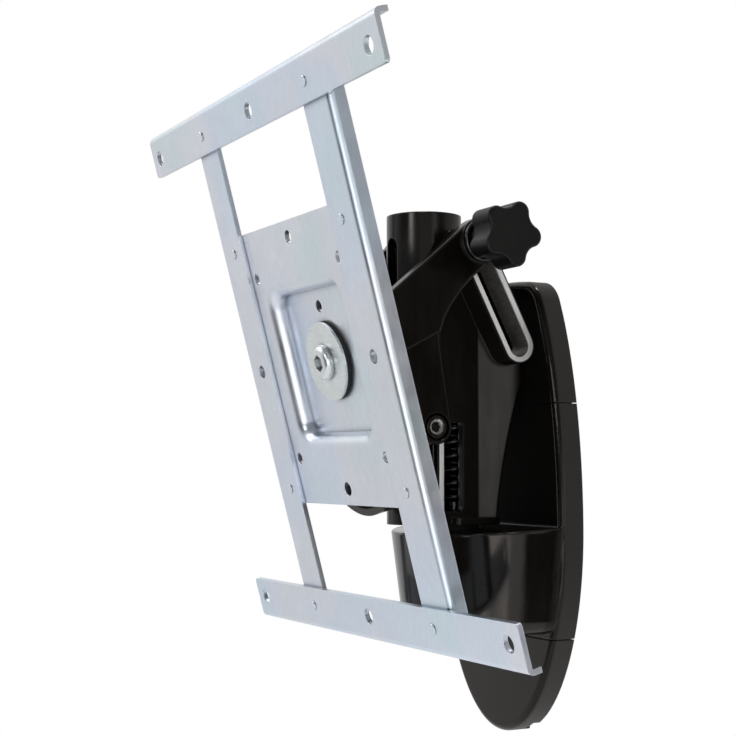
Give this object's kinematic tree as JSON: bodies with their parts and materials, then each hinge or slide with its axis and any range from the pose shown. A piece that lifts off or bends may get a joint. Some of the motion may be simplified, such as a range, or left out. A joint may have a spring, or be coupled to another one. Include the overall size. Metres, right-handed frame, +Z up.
{
  "type": "monitor wall arm",
  "caption": "Wall arm for a flat display: black wall base with a swivelling column, a tilt bracket locked by a star knob, and a plated display frame with hole patterns.",
  "frame": {"origin": "midway between the two wall screw holes, on the wall plane", "axes": "+Y into the wall, +X to the right for a person who faces the wall, +Z up"},
  "size_m": [0.216, 0.1229, 0.253],
  "materials": {
    "zinc": "bright zinc plating",
    "rivet": "zinc plating",
    "steel": "plain turned steel",
    "bare_rim": "bare machined metal",
    "black_cover": "high gloss",
    "black_casting": "gloss paint over a die casting",
    "dark_bolt": "satin black",
    "friction": "plain black",
    "knob": "satin moulded",
    "insert": "turned brass"
  },
  "bodies": {
    "base": {"wall_plate": "steel", "top_cover": "black_cover", "pod_housing": "black_cover", "bottom_cover": "black_cover", "housing_screws": "steel", "swivel_bush": "friction", "thrust_washer": "friction"},
    "yoke": {"yoke": "black_casting", "slot_liner_right": "bare_rim", "slot_liner_left": "bare_rim", "guide_strip_right": "bare_rim", "guide_strip_left": "bare_rim", "swivel_pin": "steel", "swivel_washer": "steel", "swivel_nut": "steel", "lift_spring": "dark_bolt"},
    "lift": {"lift_carriage": "dark_bolt", "pivot_bolt": "dark_bolt", "pivot_nut": "steel"},
    "tilt": {"tilt_bracket": "black_casting", "clamp_bolt": "steel", "clamp_washer_right": "steel", "clamp_washer_left": "steel", "hub_bolt": "steel", "hub_washer": "steel", "front_friction_disc": "friction", "rear_friction_disc": "friction", "hub_spring_washers": "steel", "hub_nut": "steel"},
    "knob": {"star_knob": "knob", "knob_insert": "insert"},
    "head": {"vesa_plate": "zinc", "bar_right": "zinc", "bar_left": "zinc", "crossbar_top": "zinc", "crossbar_bottom": "zinc", "bar_rivets": "rivet", "crossbar_rivets": "rivet"}
  },
  "joints": [
    {"name": "swivel", "type": "hinge", "parent": "base", "child": "yoke", "pos_m": [0, -0.0305, 0], "axis": [0, 0, 1], "range_deg": [-10, 10]},
    {"name": "lift", "type": "slide", "parent": "yoke", "child": "lift", "axis": [0, 0, 1], "range_m": [-0.0192, 0], "deforming": ["lift_spring"]},
    {"name": "tilt", "type": "hinge", "parent": "lift", "child": "tilt", "pos_m": [0, -0.05, 0.0387], "axis": [1, 0, 0], "range_deg": [-10, 0]},
    {"name": "roll", "type": "hinge", "parent": "tilt", "child": "head", "pos_m": [0, -0.091, 0.063], "axis": [0, -0.9659, -0.2588], "range_deg": [-90, 90]},
    {"name": "knob_turn", "type": "hinge", "parent": "tilt", "child": "knob", "pos_m": [0.04, -0.0369, 0.1103], "axis": [1, 0, 0], "continuous": true}
  ],
  "couplings": [
    {"joint": "tilt", "follows": "lift", "rad_per_m": 9.0903}
  ]
}
